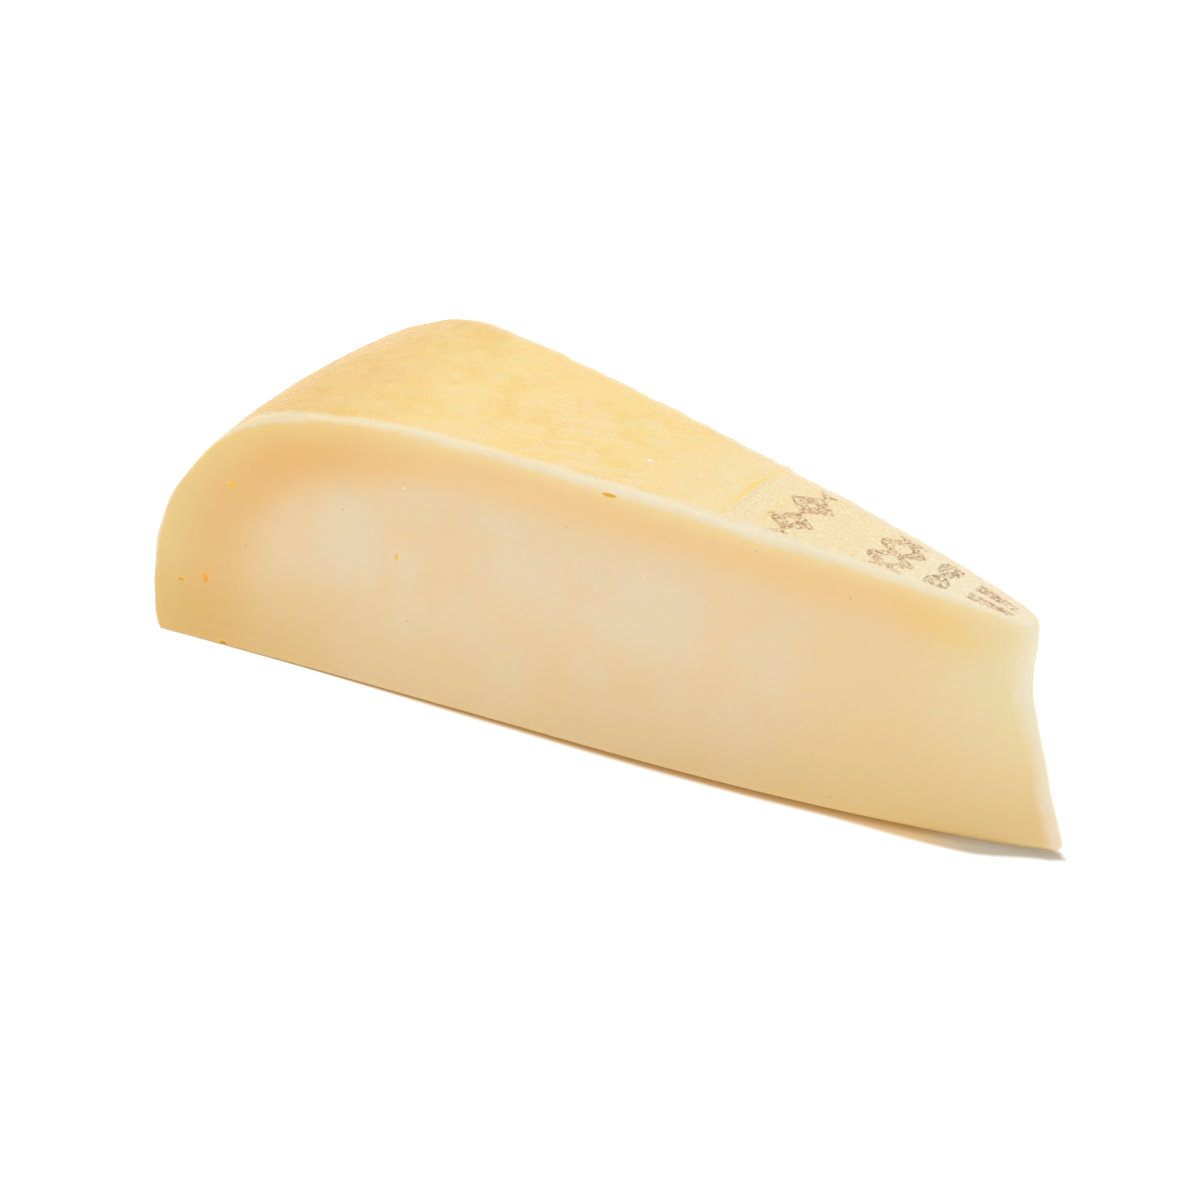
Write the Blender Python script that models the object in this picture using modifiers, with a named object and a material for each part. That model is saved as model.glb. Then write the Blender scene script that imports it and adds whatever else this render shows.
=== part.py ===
# A wedge of gouda, cut from the upper half of a round wheel.
# Metres, +Z up. The tip points to +X and the rounded rim to -X. The cut faces
# look to -Y and +Y, and the wedge lies on the cut that halved the wheel.
# The origin is the middle of the base.

import math

import bmesh
import bpy
import numpy as np
from mathutils import Matrix, Vector

# The wheel that the wedge comes from
WHEEL_RADIUS = 0.1750
CROWN_HEIGHT = 0.0527        # height of the top rind, drawn on out to the rim
CENTRE_HEIGHT = 0.0426       # its height at the wheel's axis, where it has sunk
SINK_POWER = 2.25
SHOULDER_REACH = 0.0536      # the shoulder begins this far in from the rim
SHOULDER_POWER = 2.45        # 2 would be an ellipse, more is squarer
SHOULDER_SWELL = 0.0007      # fuller towards -Y and flatter towards +Y
SWELL_MIDDLE = 0.1480
SWELL_REACH = 0.0140
RIM_FOOT = 0.0020            # upright strip at the foot of the rim
RIM_TUCK = 0.0005            # the rim draws in a little above the base
RIM_TUCK_HEIGHT = 0.0140
AXIS_X = 0.0874              # where the wheel's axis stands in the wedge's frame

# The two cuts that made the wedge
HALF_ANGLE = math.radians(8.56)
FRONT_FOOT_BOW = 0.0034      # the -Y face swells most at its foot, near the tip
FRONT_TOP_BOW = 0.0007
FRONT_TIP_PINCH = 0.0006
BACK_TOP_BOW = 0.0006
BACK_RIM_BOW = 0.0006
BACK_TIP_PINCH = 0.0010
CUT_EDGE = 0.0014            # width of the softened edge along a cut

# The tip, which leans back and is a little wavy
TIP_LEAN = 0.0071            # the tip's top stands this far back from its foot
TIP_HOLLOW = 0.0043
TIP_WAVE = 0.0003
TIP_HALF_WIDTH = 0.0008
TIP_DROP = 0.0007            # the tip's top corner is worn round
TIP_DROP_REACH = 0.12

# The base, which lifts off the table at the tip and along the -Y edge
TIP_LIFT = 0.0012
TIP_LIFT_REACH = 0.12
EDGE_LIFT = 0.0006
EDGE_LIFT_REACH = 0.20

# Where the cage is cut: along the wedge, up its side and across it
RIM_CORNER = 0.73            # share of the rind's length that lies on top
ALONG = (0.008, 0.030, 0.070) + tuple(0.12 + 0.046 * i for i in range(19)) + (0.990,)
UP = (0.030, 0.15, 0.30, 0.46, 0.62, 0.78, 0.91, 0.972)
ACROSS = (0.10, 0.30, 0.50, 0.70, 0.90)

# Marks in the -Y face: distance from the wheel's axis, height, half sizes
SLIT = {"r": 0.0849, "z": 0.0466, "half": (0.0017, 0.0016, 0.0005)}
EYES = (
    {"r": 0.1583, "z": 0.0319, "half": (0.0008, 0.0012, 0.0008)},
    {"r": 0.1644, "z": 0.0121, "half": (0.0009, 0.0012, 0.0009)},
    {"r": 0.1690, "z": 0.0106, "half": (0.0006, 0.0010, 0.0009)},
    {"r": 0.1258, "z": 0.0258, "half": (0.0006, 0.0010, 0.0009)},
)
NOTCH = {"r": 0.1602, "z": 0.0000, "half": (0.0009, 0.0020, 0.0014)}

RIND_YELLOW = (0.89, 0.69, 0.33, 1.0)


def clear_scene():
    for item in list(bpy.data.objects):
        bpy.data.objects.remove(item, do_unlink=True)


def new_collection(name):
    group = bpy.data.collections.new(name)
    bpy.context.scene.collection.children.link(group)
    return group


def rind_height(r):
    sink = CROWN_HEIGHT - CENTRE_HEIGHT
    return CROWN_HEIGHT - sink * (1.0 - r / WHEEL_RADIUS) ** SINK_POWER


def rind_profile():
    """The rind's section from the tip's top over the shoulder to the rim's foot."""
    inner = WHEEL_RADIUS - SHOULDER_REACH
    level = np.linspace(TIP_LEAN, inner, 80)
    turn = np.linspace(0.0, math.pi / 2, 200)[1:]
    drop = rind_height(inner) - RIM_FOOT
    across = np.abs(np.sin(turn)) ** (2.0 / SHOULDER_POWER)
    down = np.abs(np.cos(turn)) ** (2.0 / SHOULDER_POWER)
    r = np.concatenate([level, inner + SHOULDER_REACH * across, [WHEEL_RADIUS]])
    z = np.concatenate([rind_height(level), RIM_FOOT + drop * down, [0.0]])
    steps = np.hypot(np.diff(r), np.diff(z))
    length = np.concatenate([[0.0], np.cumsum(steps)])
    return length / length[-1], r, z


PROFILE = rind_profile()


def on_rind(share):
    length, r, z = PROFILE
    return np.array([np.interp(share, length, r), np.interp(share, length, z)])


def on_tip(v):
    wave = TIP_WAVE * math.sin(4.0 * math.pi * (v - 0.5))
    r = TIP_LEAN * v + TIP_HOLLOW * 4.0 * v * (1.0 - v) + wave
    return np.array([r, v * rind_height(TIP_LEAN)])


def section_point(s, v):
    """A point of the wedge's side view: s runs from tip to rim, v from base to rind."""
    base = np.array([s * WHEEL_RADIUS, 0.0])
    rind = on_rind(s * RIM_CORNER)
    tip = on_tip(v)
    rim = on_rind(1.0 - v * (1.0 - RIM_CORNER))
    corners = ((1 - s) * (1 - v) * on_tip(0.0) + (1 - s) * v * on_tip(1.0)
               + s * (1 - v) * on_rind(1.0) + s * v * on_rind(RIM_CORNER))
    return (1 - v) * base + v * rind + (1 - s) * tip + s * rim - corners


def front_offset(s, v):
    """How far the -Y face stands out from a straight cut."""
    foot = FRONT_FOOT_BOW * 6.75 * s * (1.0 - s) ** 2
    top = FRONT_TOP_BOW * 4.0 * s * (1.0 - s) - FRONT_TIP_PINCH * (1.0 - s) ** 3
    return foot + (top - foot) * v


def back_offset(s, v):
    """How far the +Y face stands out from a straight cut."""
    bow = BACK_TOP_BOW * 4.0 * s * (1.0 - s) * (0.5 + 0.5 * v)
    rim_bow = BACK_RIM_BOW * math.exp(-((s - 0.88) / 0.08) ** 2) * v
    return bow + rim_bow + BACK_TIP_PINCH * (1.0 - s) ** 3


def across_share(w, width):
    """Widen or narrow the outer strips so the softened edges keep one width."""
    edge = min(CUT_EDGE / max(width, 1e-6), 0.28)
    if w < ACROSS[0]:
        return edge * w / ACROSS[0]
    if w > ACROSS[-1]:
        return 1.0 - edge * (1.0 - w) / (1.0 - ACROSS[-1])
    return edge + (1.0 - 2.0 * edge) * (w - ACROSS[0]) / (ACROSS[-1] - ACROSS[0])


def base_lift(s, w, v):
    tip = TIP_LIFT * max(0.0, 1.0 - s / TIP_LIFT_REACH) ** 2
    edge = EDGE_LIFT * (1.0 - s) * max(0.0, 1.0 - w / EDGE_LIFT_REACH) ** 2
    return max(tip, edge) * (1.0 - v) ** 8


def top_change(r, s, w, v):
    """Uneven shoulder and worn tip, which fade out towards the base."""
    reach = (r - SWELL_MIDDLE) / SWELL_REACH
    swell = SHOULDER_SWELL * (1.0 - 2.0 * w) * 2.3 * reach * math.exp(-reach * reach)
    drop = TIP_DROP * max(0.0, 1.0 - s / TIP_DROP_REACH) ** 1.5
    return (swell - drop) * v ** 4


def wedge_point(s, w, v):
    """Carry a point of the unit cage to the wedge."""
    r, z = section_point(s, v)
    r -= RIM_TUCK * s ** 8 * max(0.0, 1.0 - z / RIM_TUCK_HEIGHT) ** 2
    width = 2.0 * r * math.sin(HALF_ANGLE) + 2.0 * TIP_HALF_WIDTH
    share = across_share(w, width)
    angle = HALF_ANGLE * (2.0 * share - 1.0)
    side = (2.0 * share - 1.0) * TIP_HALF_WIDTH
    side -= (1.0 - share) * front_offset(s, v)
    side += share * back_offset(s, v)
    x = AXIS_X - r * math.cos(angle) + side * math.sin(angle)
    y = r * math.sin(angle) + side * math.cos(angle)
    z += base_lift(s, share, v) + top_change(r, s, share, v)
    return Vector((x, y, z))


def front_point(r, z):
    """A point on the -Y face at distance r from the axis and height z."""
    s = r / WHEEL_RADIUS
    offset = TIP_HALF_WIDTH + front_offset(s, z / rind_height(r))
    x = AXIS_X - r * math.cos(HALF_ANGLE) + offset * math.sin(HALF_ANGLE)
    y = -r * math.sin(HALF_ANGLE) - offset * math.cos(HALF_ANGLE)
    return Vector((x, y, z))


def cage_mesh(name):
    """A cube cut at the stations, then carried to the wedge."""
    bm = bmesh.new()
    bmesh.ops.create_cube(bm, size=1.0, matrix=Matrix.Translation((0.5, 0.5, 0.5)))
    for axis, stations in enumerate((ALONG, ACROSS, UP)):
        normal = Vector((0.0, 0.0, 0.0))
        normal[axis] = 1.0
        for station in stations:
            bmesh.ops.bisect_plane(bm, geom=bm.verts[:] + bm.edges[:] + bm.faces[:],
                                   dist=1e-6, plane_co=normal * station, plane_no=normal)
    for vert in bm.verts:
        vert.co = wedge_point(*vert.co)
    bmesh.ops.recalc_face_normals(bm, faces=bm.faces[:])
    mesh = bpy.data.meshes.new(name)
    bm.to_mesh(mesh)
    bm.free()
    mesh.shade_smooth()
    return mesh


def cheese_material():
    material = bpy.data.materials.new("gouda_rind")
    material.use_nodes = True
    shader = material.node_tree.nodes["Principled BSDF"]
    shader.inputs["Base Color"].default_value = RIND_YELLOW
    shader.inputs["Roughness"].default_value = 0.38
    shader.inputs["Metallic"].default_value = 0.0
    return material


def add_cutter(name, mark, group):
    """A flattened ball that bites a small hollow out of the -Y face."""
    bm = bmesh.new()
    turn = Matrix.Rotation(HALF_ANGLE, 4, "Z")
    place = Matrix.Translation(front_point(mark["r"], mark["z"]))
    size = Matrix.Diagonal((*mark["half"], 1.0))
    bmesh.ops.create_uvsphere(bm, u_segments=14, v_segments=9, radius=1.0,
                              matrix=place @ turn @ size)
    mesh = bpy.data.meshes.new(name)
    bm.to_mesh(mesh)
    bm.free()
    cutter = bpy.data.objects.new(name, mesh)
    cutter.display_type = "WIRE"
    cutter.hide_render = True
    group.objects.link(cutter)
    return cutter


def cut_away(item, cutter):
    cut = item.modifiers.new(cutter.name, "BOOLEAN")
    cut.operation = "DIFFERENCE"
    cut.solver = "EXACT"
    cut.object = cutter


def build_wedge():
    parts = new_collection("gouda_wedge")
    cutters = new_collection("gouda_wedge_cutters")
    wedge = bpy.data.objects.new("cheese_wedge", cage_mesh("cheese_wedge"))
    wedge.data.materials.append(cheese_material())
    parts.objects.link(wedge)

    soften = wedge.modifiers.new("soften", "SUBSURF")
    soften.levels = 1
    soften.render_levels = 1

    cut_away(wedge, add_cutter("slit_cutter", SLIT, cutters))
    for number, eye in enumerate(EYES, start=1):
        cut_away(wedge, add_cutter(f"eye_cutter_{number}", eye, cutters))
    cut_away(wedge, add_cutter("notch_cutter", NOTCH, cutters))
    return wedge


clear_scene()
build_wedge()
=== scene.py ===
import math

import bmesh
import bpy
import numpy as np
from mathutils import Matrix, Vector


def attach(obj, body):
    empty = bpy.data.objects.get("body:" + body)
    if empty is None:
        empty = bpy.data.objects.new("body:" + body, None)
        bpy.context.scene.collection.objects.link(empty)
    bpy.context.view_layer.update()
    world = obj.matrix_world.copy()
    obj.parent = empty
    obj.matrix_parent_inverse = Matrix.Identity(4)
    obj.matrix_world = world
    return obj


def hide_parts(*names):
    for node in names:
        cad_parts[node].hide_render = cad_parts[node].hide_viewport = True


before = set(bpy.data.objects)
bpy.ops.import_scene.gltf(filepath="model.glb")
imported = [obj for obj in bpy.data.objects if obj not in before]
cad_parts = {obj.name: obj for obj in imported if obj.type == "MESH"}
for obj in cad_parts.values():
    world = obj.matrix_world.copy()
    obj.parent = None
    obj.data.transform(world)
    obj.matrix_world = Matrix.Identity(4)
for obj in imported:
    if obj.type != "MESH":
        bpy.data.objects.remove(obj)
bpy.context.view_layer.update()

# sizes, in metres

wheel = {
    "radius": 0.1750,
    "crown": 0.0527,           # top rind's height, drawn on out to the rim
    "centre": 0.0426,          # and at the wheel's axis, where it has sunk
    "sinkPower": 2.25,
    "shoulderReach": 0.0536,   # the shoulder begins this far in from the rim
    "shoulderPower": 2.485,    # 2 would be an ellipse, more is squarer
    "foot": 0.0020,            # upright strip at the foot of the rim
    "tuck": 0.0010,            # the rim draws in above it
    "tuckHeight": 0.0240,
    "footRound": 0.0006,
    "swell": 0.0007,           # the shoulder is fuller by the front cut
    "swellMiddle": 0.1445,
    "swellReach": 0.0140,
    "backDip": 0.0010,         # the top sags a little by the back cut
    "backDipMiddle": 0.1300,
    "backDipReach": 0.0095,
    "rimDip": 0.0006,          # and once more just before the rim
    "rimDipMiddle": 0.1630,
    "rimDipReach": 0.0120,
    "dent": 0.0010,            # the shoulder is dented by the front cut
    "dentHeight": 0.0360,
    "dentReach": 0.0080,
    "axisX": 0.0874,           # where the wheel's axis stands
}

cuts = {
    "halfAngle": math.radians(8.56),
    "frontFootBow": 0.0050,    # the front cut swells most at its foot, near the tip
    "frontFootFlare": 0.0009,  # and its foot stands out a little towards the rim
    "flareStart": 0.58,        # share of the way from the tip to the rim
    "flareLength": 0.32,
    "frontTopBow": 0.0007,
    "frontTipPinch": 0.0006,
    "backTopBow": 0.0006,
    "backRimBow": 0.0006,
    "backRimMiddle": 0.88,     # shares of the same way
    "backRimReach": 0.08,
    "backTipPinch": 0.0008,
    "edge": 0.0009,            # width of the softened edge
    "waver": [                 # where the wire wandered along the upper front edge
        {"r": 0.1150, "out": -0.0006}, {"r": 0.0600, "out": 0.0007},
    ],
    "waverReach": 0.0080,
}

tip = {
    "lean": 0.0071,
    "hollow": 0.0043,
    "wave": 0.0003,
    "bulge": 0.0012,           # the middle of the tip stands out again
    "bulgeMiddle": 0.0210,
    "bulgeReach": 0.0100,
    "brow": 0.0016,            # and so does the part under the top corner
    "browMiddle": 0.0410,
    "browReach": 0.0100,
    "forward": 0.0016,         # the foot runs out below the hollow
    "forwardReach": 0.0035,
    "halfWidth": 0.0008,
    "drop": 0.0012,            # the top sinks towards the tip
    "dropReach": 0.18,
    "cornerBack": 0.0003,      # the top corner is worn back
    "cornerDown": 0.0007,
    "cornerReach": 0.035,
    "round": 0.0015,           # and the tip's sides are rounded off
    "toeRound": 0.0006,
}

base = {
    "tipLift": 0.0012,         # the base stands off the table at the tip
    "tipReach": 0.12,
    "edgeLift": 0.0018,        # and along the front cut
    "edgeReach": 0.30,
}

cage = {
    "rimCorner": 0.73,         # share of the rind's length that lies on top
    "along": np.concatenate([[0, 0.008, 0.020, 0.036],
                             np.linspace(0.052, 0.982, 58), [0.991, 1]]),
    "up": np.concatenate([[0, 0.030], np.linspace(0.09, 0.92, 11), [0.972, 1]]),
    "across": np.concatenate([[0], np.linspace(0.1, 0.9, 13), [1]]),
    "levels": 2,
    "easeRounds": 160,
}


# small node helpers

def feed(tree, socket, value):
    # a link from another node's socket, or else a fixed value
    if isinstance(value, bpy.types.NodeSocket):
        tree.links.new(value, socket)
    else:
        socket.default_value = value


def addNode(tree, kind, values=None, **settings):
    node = tree.nodes.new(kind)
    for name, value in settings.items():
        setattr(node, name, value)
    for name, value in (values or {}).items():
        feed(tree, node.inputs[name], value)
    return node


def calc(tree, operation, *values, clamp=False):
    node = tree.nodes.new("ShaderNodeMath")
    node.operation = operation
    node.use_clamp = clamp
    for socket, value in zip(node.inputs, values):
        feed(tree, socket, value)
    return node.outputs[0]


def product(tree, *values):
    result = values[0]
    for value in values[1:]:
        result = calc(tree, "MULTIPLY", result, value)
    return result


def plus(tree, *values):
    result = values[0]
    for value in values[1:]:
        result = calc(tree, "ADD", result, value)
    return result


def minus(tree, first, second):
    return calc(tree, "SUBTRACT", first, second)


def larger(tree, first, second):
    return calc(tree, "MAXIMUM", first, second)


def fade(tree, value, start, end, low=0.0, high=1.0):
    # eases from low at start to high at end
    return addNode(tree, "ShaderNodeMapRange", {
        "Value": value, "From Min": start, "From Max": end, "To Min": low, "To Max": high,
    }, interpolation_type="SMOOTHSTEP", clamp=True).outputs[0]


def hump(tree, value, middle, width):
    # a soft bump of height 1 around the middle
    away = calc(tree, "DIVIDE", minus(tree, value, middle), width)
    return calc(tree, "EXPONENT", product(tree, away, away, -1.0))


def vectorCalc(tree, operation, first, second=(0.0, 0.0, 0.0)):
    node = tree.nodes.new("ShaderNodeVectorMath")
    node.operation = operation
    feed(tree, node.inputs[0], first)
    feed(tree, node.inputs["Scale"] if operation == "SCALE" else node.inputs[1], second)
    plain = operation in ("LENGTH", "DISTANCE", "DOT_PRODUCT")
    return node.outputs["Value" if plain else "Vector"]


def shifted(tree, vector, by):
    return vectorCalc(tree, "ADD", vector, by)


def stretched(tree, vector, by):
    return vectorCalc(tree, "MULTIPLY", vector, by)


def turned(tree, vector, degrees):
    node = addNode(tree, "ShaderNodeVectorRotate", {"Vector": vector}, rotation_type="Z_AXIS")
    node.inputs["Angle"].default_value = math.radians(degrees)
    return node.outputs[0]


def axisPart(tree, vector, axis):
    return addNode(tree, "ShaderNodeSeparateXYZ", {0: vector}).outputs[axis]


def noise(tree, vector, size, detail=3.0, roughness=0.5, distortion=0.0):
    node = addNode(tree, "ShaderNodeTexNoise", {
        "Vector": vector, "Scale": 1.0 / size, "Detail": detail,
        "Roughness": roughness, "Distortion": distortion})
    return node.outputs[0]


def swing(tree, vector, size, height, detail=2.0, roughness=0.5):
    # noise that sways either side of zero
    around = minus(tree, noise(tree, vector, size, detail, roughness), 0.5)
    return product(tree, around, 2.0, height)


def mixColour(tree, share, first, second):
    node = tree.nodes.new("ShaderNodeMix")
    node.data_type = "RGBA"
    for number, value in ((0, share), (6, first), (7, second)):
        ready = isinstance(value, (bpy.types.NodeSocket, float))
        feed(tree, node.inputs[number], value if ready else (*value, 1.0))
    return node.outputs[2]


def axisReach(tree, place):
    # distance from the wheel's axis, and the angle about it
    off = stretched(tree, shifted(tree, place, (-wheel["axisX"], 0, 0)), (1.0, 1.0, 0.0))
    parts = addNode(tree, "ShaderNodeSeparateXYZ", {0: off})
    angle = calc(tree, "ARCTAN2", parts.outputs["Y"], product(tree, parts.outputs["X"], -1.0))
    return vectorCalc(tree, "LENGTH", off), angle


# the wedge's side view: distance from the wheel's axis, and height

def crownHeight(r):
    sink = wheel["crown"] - wheel["centre"]
    return wheel["crown"] - sink * (1.0 - r / wheel["radius"]) ** wheel["sinkPower"]


def rindOutline():
    # from the tip's top, over the shoulder, to the rim's foot
    inner = wheel["radius"] - wheel["shoulderReach"]
    level = np.linspace(tip["lean"], inner, 160)
    turn = np.linspace(0.0, math.pi / 2, 400)[1:]
    power = 2.0 / wheel["shoulderPower"]
    drop = crownHeight(inner) - wheel["foot"]
    r = np.concatenate([level, inner + wheel["shoulderReach"] * np.abs(np.sin(turn)) ** power,
                        [wheel["radius"]]])
    z = np.concatenate([crownHeight(level), wheel["foot"] + drop * np.abs(np.cos(turn)) ** power,
                        [0.0]])
    length = np.concatenate([[0.0], np.cumsum(np.hypot(np.diff(r), np.diff(z)))])
    return length, r, z


rindLength, rindR, rindZ = rindOutline()


def onRind(share):
    length = np.asarray(share) * rindLength[-1]
    return np.stack([np.interp(length, rindLength, line) for line in (rindR, rindZ)], -1)


def onTip(v):
    v = np.asarray(v, float)
    wave = tip["wave"] * np.sin(4.0 * math.pi * (v - 0.5))
    r = tip["lean"] * v + tip["hollow"] * 4.0 * v * (1.0 - v) + wave
    z = v * crownHeight(tip["lean"])
    r = r - tip["forward"] * (1.0 - np.exp(-(z / tip["forwardReach"]) ** 2))
    for name in ("bulge", "brow"):
        r = r - tip[name] * np.exp(-((z - tip[name + "Middle"]) / tip[name + "Reach"]) ** 2)
    return np.stack([r, z], -1)


def inward(line):
    # unit vectors across a line of points, towards the paste
    ahead = np.gradient(line, axis=0)
    across = np.stack([ahead[:, 1], -ahead[:, 0]], -1)
    return across / np.linalg.norm(across, axis=1, keepdims=True)


def sectionGrid():
    s, v = cage["along"][:, None, None], cage["up"][None, :, None]
    corner = cage["rimCorner"]
    foot = np.stack([cage["along"] * wheel["radius"], 0 * cage["along"]], -1)
    rind = onRind(cage["along"] * corner)
    front = onTip(cage["up"])
    rim = onRind(1.0 - cage["up"] * (1.0 - corner))
    grid = ((1 - v) * foot[:, None] + v * rind[:, None] + (1 - s) * front[None] + s * rim[None]
            - (1 - s) * (1 - v) * onTip(0.0) - (1 - s) * v * onTip(1.0)
            - s * (1 - v) * onRind(1.0) - s * v * onRind(corner))
    # a row of points one edge width inside the rind keeps its edge even
    skin = np.concatenate([rind, rim[::-1][1:]])
    inset = skin + inward(skin) * cuts["edge"]
    last = len(rind) - 1
    grid[1:last, -2] = inset[1:last]
    grid[-2, 1:-1] = inset[last:][::-1][1:-1]
    grid[-2, -2] = inset[last]
    for _ in range(cage["easeRounds"]):
        middle = grid[1:-3, 2:-2] + grid[3:-1, 2:-2] + grid[2:-2, 1:-3] + grid[2:-2, 3:-1]
        grid[2:-2, 2:-2] = middle / 4.0
    return grid


# how far each part of the skin stands off the plain wedge

def frontOffset(s, v):
    flare = np.clip((s - cuts["flareStart"]) / cuts["flareLength"], 0.0, 1.0)
    foot = cuts["frontFootBow"] * 6.75 * s * (1.0 - s) ** 2
    top = cuts["frontTopBow"] * 4.0 * s * (1.0 - s) - cuts["frontTipPinch"] * (1.0 - s) ** 3
    for place in cuts["waver"]:
        away = (s * wheel["radius"] - place["r"]) / cuts["waverReach"]
        top = top + place["out"] * np.exp(-away ** 2)
    return foot + (top - foot) * v + cuts["frontFootFlare"] * flare * (1.0 - v) ** 4


def backOffset(s, v):
    bow = cuts["backTopBow"] * 4.0 * s * (1.0 - s) * (0.5 + 0.5 * v)
    byRim = (s - cuts["backRimMiddle"]) / cuts["backRimReach"]
    rimBow = cuts["backRimBow"] * np.exp(-byRim ** 2) * v
    return bow + rimBow + cuts["backTipPinch"] * (1.0 - s) ** 3


def acrossShare(w, width):
    # the outer strips keep the width of the softened edge
    first, final = cage["across"][1], cage["across"][-2]
    edge = np.minimum(cuts["edge"] / np.maximum(width, 1e-6), 0.28)
    inside = edge + (1.0 - 2.0 * edge) * (w - first) / (final - first)
    share = np.where(w < first, edge * w / first, inside)
    return np.where(w > final, 1.0 - edge * (1.0 - w) / (1.0 - final), share)


def baseLift(s, w, v):
    tipRise = base["tipLift"] * np.maximum(0.0, 1.0 - s / base["tipReach"]) ** 2
    edgeRise = base["edgeLift"] * np.maximum(0.0, 1.0 - w / base["edgeReach"]) ** 2
    return np.maximum(tipRise, edgeRise * (1.0 - s) ** 1.3) * (1.0 - v) ** 8


def topChange(r, s, w, v):
    reach = (r - wheel["swellMiddle"]) / wheel["swellReach"]
    swell = wheel["swell"] * (1.0 - 2.0 * w) * 2.3 * reach * np.exp(-reach * reach)
    drop = tip["drop"] * np.maximum(0.0, 1.0 - s / tip["dropReach"]) ** 1.5
    dip = 0.0
    for name in ("backDip", "rimDip"):
        away = (r - wheel[name + "Middle"]) / wheel[name + "Reach"]
        dip = dip + wheel[name] * np.exp(-away ** 2) * w ** 3
    return (swell - drop - dip) * v ** 4


def wearAway(r, s, w, v, z):
    # the dented shoulder, and the worn corner and sides of the tip
    dent = wheel["dent"] * np.exp(-((z - wheel["dentHeight"]) / wheel["dentReach"]) ** 2)
    dent = dent * s ** 6 * (1.0 - w) ** 1.2
    near = np.maximum(0.0, 1.0 - s / tip["cornerReach"])
    corner = near ** 2 * v ** 14
    rounding = tip["round"] * (1.0 - np.sqrt(1.0 - 0.95 * (2.0 * w - 1.0) ** 2)) * near
    sole = (1.0 - v) ** 40
    r = r - 0.75 * dent + tip["cornerBack"] * corner + rounding
    r = r - wheel["footRound"] * sole * s ** 30 + tip["toeRound"] * sole * near
    return r, z - 0.66 * dent - tip["cornerDown"] * corner


# the block, still flat: X is the distance from the axis, Y the share across

def stationBlock():
    tree = bpy.data.node_groups.new("stationBlock", "GeometryNodeTree")
    face = tree.interface
    face.new_socket("Geometry", in_out="INPUT", socket_type="NodeSocketGeometry")
    names = ("Points Along", "Points Across", "Points Up")
    keys = [face.new_socket(name, in_out="INPUT", socket_type="NodeSocketInt").identifier
            for name in names]
    face.new_socket("Geometry", in_out="OUTPUT", socket_type="NodeSocketGeometry")
    into, out = tree.nodes.new("NodeGroupInput"), tree.nodes.new("NodeGroupOutput")
    block = addNode(tree, "GeometryNodeMeshCube", {
        "Vertices X": into.outputs[names[0]], "Vertices Y": into.outputs[names[1]],
        "Vertices Z": into.outputs[names[2]]})
    whole = addNode(tree, "GeometryNodeRealizeInstances", {"Geometry": block.outputs["Mesh"]})
    painted = addNode(tree, "GeometryNodeSetMaterial", {
        "Geometry": whole.outputs[0], "Material": bpy.data.materials["goudaPaste"]})
    tree.links.new(painted.outputs[0], out.inputs[0])
    counts = (len(cage["along"]), len(cage["across"]), len(cage["up"]))
    return tree, dict(zip(keys, counts))


def baked(name, mesh, modifiers):
    # runs the modifiers on a throwaway object and keeps the plain mesh
    holder = bpy.data.objects.new(name + "Holder", mesh)
    bpy.context.scene.collection.objects.link(holder)
    for kind, settings, inputs in modifiers:
        modifier = holder.modifiers.new(kind.title(), kind)
        for key, value in settings.items():
            setattr(modifier, key, value)
        for key, value in inputs.items():
            modifier[key] = value
    bpy.context.view_layer.update()
    ready = holder.evaluated_get(bpy.context.evaluated_depsgraph_get())
    result = bpy.data.meshes.new_from_object(ready)
    result.name = name
    holder.modifiers.clear()
    bpy.data.objects.remove(holder, do_unlink=True)
    return result


def readPoints(mesh):
    points = np.empty(len(mesh.vertices) * 3)
    mesh.vertices.foreach_get("co", points)
    return points.reshape(-1, 3)


def writeValues(mesh, name, kind, values, domain="POINT"):
    if name in mesh.attributes:
        mesh.attributes.remove(mesh.attributes[name])
    attribute = mesh.attributes.new(name, kind, domain)
    number = bool if kind == "BOOLEAN" else np.float32
    attribute.data.foreach_set("vector" if kind == "FLOAT_VECTOR" else "value",
                               np.ascontiguousarray(values, number).ravel())


def flatWedge():
    tree, inputs = stationBlock()
    blank = bpy.data.meshes.new("wedgeBlank")
    mesh = baked("wedgeCage", blank, [("NODES", {"node_group": tree}, inputs)])
    last = np.array([len(cage[name]) - 1 for name in ("along", "across", "up")])
    index = np.rint((readPoints(mesh) + 0.5) * last).astype(int)
    s, w, v = (cage[name][index[:, n]] for n, name in enumerate(("along", "across", "up")))
    r, z = sectionGrid()[index[:, 0], index[:, 2]].T
    r = r - wheel["tuck"] * s ** 8 * np.maximum(0.0, 1.0 - z / wheel["tuckHeight"]) ** 2
    width = 2.0 * r * math.sin(cuts["halfAngle"]) + 2.0 * tip["halfWidth"]
    w = acrossShare(w, width)
    side = (2.0 * w - 1.0) * tip["halfWidth"] - (1.0 - w) * frontOffset(s, v) + w * backOffset(s, v)
    z = z + baseLift(s, w, v) + topChange(r, s, w, v)
    r, z = wearAway(r, s, w, v, z)
    mesh.vertices.foreach_set("co", np.stack([r, w, z], -1).ravel())
    writeValues(mesh, "sideways", "FLOAT", side)
    # rind faces lie wholly on the last station up or along
    corners = index[np.array([list(polygon.vertices) for polygon in mesh.polygons])]
    rindFace = (corners[:, :, 2] == last[2]).all(1) | (corners[:, :, 0] == last[0]).all(1)
    writeValues(mesh, "cutFace", "BOOLEAN", ~rindFace, "FACE")
    mesh.materials.clear()
    mesh.update()
    return mesh


# the tree that wraps the block round the wheel's axis and rounds it

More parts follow.
